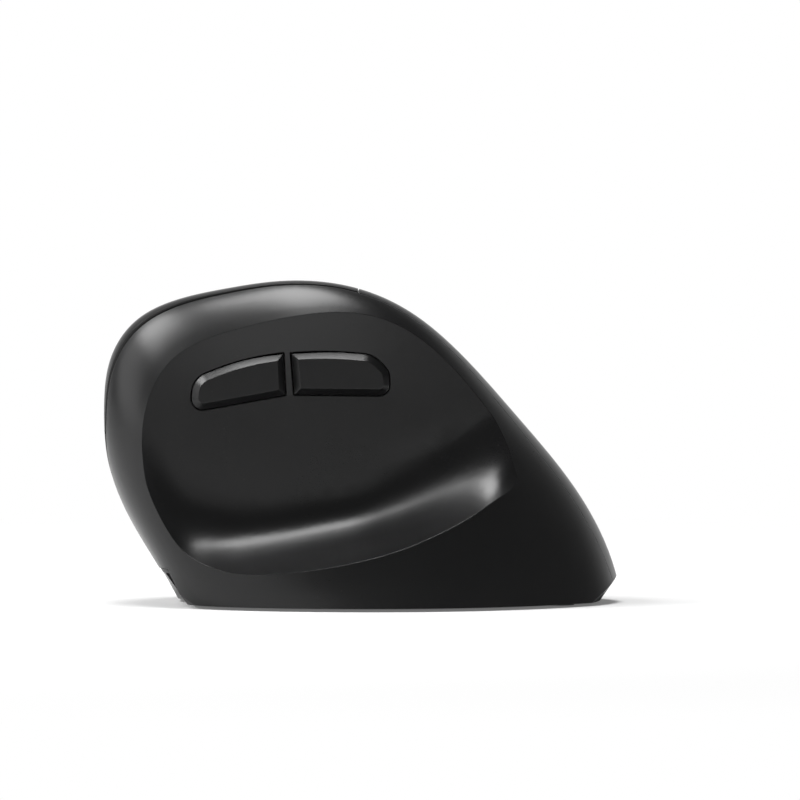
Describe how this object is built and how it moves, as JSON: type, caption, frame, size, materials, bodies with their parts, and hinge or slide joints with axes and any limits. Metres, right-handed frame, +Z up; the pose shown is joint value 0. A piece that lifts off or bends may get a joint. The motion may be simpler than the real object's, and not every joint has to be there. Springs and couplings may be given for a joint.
{
  "type": "ergonomic mouse",
  "caption": "Upright right-hand wireless mouse with a scooped thumb panel, side buttons, two main buttons, a wheel, a resolution button and a charging port.",
  "frame": {"origin": "middle of the bounding box's underside, on the surface that the glide feet stand on", "axes": "-X is the front of the mouse, +X the wrist end, -Y the thumb side, +Y the finger side, +Z up"},
  "size_m": [0.1196, 0.0801, 0.0755],
  "materials": {
    "shell_plastic": "fine matt black moulding",
    "base_plastic": "coarser matt black moulding",
    "key_plastic": "satin black moulding",
    "gloss_strip": "polished black",
    "light_pipe": "milky, polished",
    "frame_plastic": "plain moulding, dark grey",
    "plain_steel": "ground steel pin",
    "screw_steel": "zinc plated",
    "circuit_board": "green solder mask",
    "switch_case": "moulded switch case",
    "chip_plastic": "black chip package",
    "clear_lens": "clear moulded lens",
    "socket_steel": "drawn steel shell",
    "cell_wrap": "foil pouch",
    "receiver_plastic": "satin black moulding",
    "ribbon_film": "flat flexible cable",
    "connector_plastic": "ivory connector",
    "glide_plastic": "smooth low-friction pad",
    "tyre_rubber": "grooved soft rubber",
    "hub_plastic": "polished dark moulding"
  },
  "bodies": {
    "housing": {"thumb_shell": "shell_plastic", "palm_shell": "shell_plastic", "base_plate": "base_plastic", "centre_strip": "gloss_strip", "status_light": "light_pipe", "inner_frame": "frame_plastic", "hinge_shaft": "plain_steel", "button_board": "circuit_board", "board_screws": "screw_steel", "left_switch": "switch_case", "right_switch": "switch_case", "middle_switch": "switch_case", "dpi_switch": "switch_case", "main_board": "circuit_board", "motion_sensor": "chip_plastic", "controller_chip": "chip_plastic", "sensor_lens": "clear_lens", "usb_socket": "socket_steel", "port_bezel": "base_plastic", "battery": "cell_wrap", "receiver": "receiver_plastic", "power_switch": "switch_case", "side_board": "circuit_board", "forward_switch": "switch_case", "back_switch": "switch_case", "side_screws": "screw_steel", "case_screws": "screw_steel", "ribbon_cable": "ribbon_film", "ribbon_connectors": "connector_plastic", "front_glide": "glide_plastic", "rear_glide": "glide_plastic"},
    "left_button": {"left_button": "shell_plastic"},
    "right_button": {"right_button": "shell_plastic"},
    "cradle": {"wheel_cradle": "frame_plastic", "wheel_encoder": "switch_case"},
    "wheel": {"wheel_tyre": "tyre_rubber", "wheel_hub": "hub_plastic"},
    "dpi_button": {"dpi_button": "key_plastic"},
    "forward_button": {"forward_button": "key_plastic"},
    "back_button": {"back_button": "key_plastic"},
    "power_knob": {"power_knob": "key_plastic"}
  },
  "joints": [
    {"name": "left_press", "type": "hinge", "parent": "housing", "child": "left_button", "pos_m": [0.002, 0.01187, 0.04543], "axis": [0, -0.5, 0.866], "range_deg": [0, 0.65], "stiffness_Nm_per_rad": 3},
    {"name": "right_press", "type": "hinge", "parent": "housing", "child": "right_button", "pos_m": [0.002, 0.01187, 0.04543], "axis": [0, -0.5, 0.866], "range_deg": [0, 0.65], "stiffness_Nm_per_rad": 3},
    {"name": "wheel_press", "type": "slide", "parent": "housing", "child": "cradle", "axis": [0, -0.866, -0.5], "range_m": [0, 0.0005], "stiffness_N_per_m": 1800},
    {"name": "wheel_turn", "type": "hinge", "parent": "cradle", "child": "wheel", "pos_m": [-0.034, 0.01132, 0.051], "axis": [0, -0.5, 0.866], "continuous": true},
    {"name": "dpi_press", "type": "slide", "parent": "housing", "child": "dpi_button", "axis": [0, -0.866, -0.5], "range_m": [0, 0.0005], "stiffness_N_per_m": 2400},
    {"name": "forward_press", "type": "slide", "parent": "housing", "child": "forward_button", "axis": [-0.075, 0.9972, 0], "range_m": [0, 0.0006], "stiffness_N_per_m": 1600},
    {"name": "back_press", "type": "slide", "parent": "housing", "child": "back_button", "axis": [-0.075, 0.9972, 0], "range_m": [0, 0.0006], "stiffness_N_per_m": 1600},
    {"name": "power_slide", "type": "slide", "parent": "housing", "child": "power_knob", "axis": [1, 0, 0], "range_m": [0, 0.003]}
  ]
}
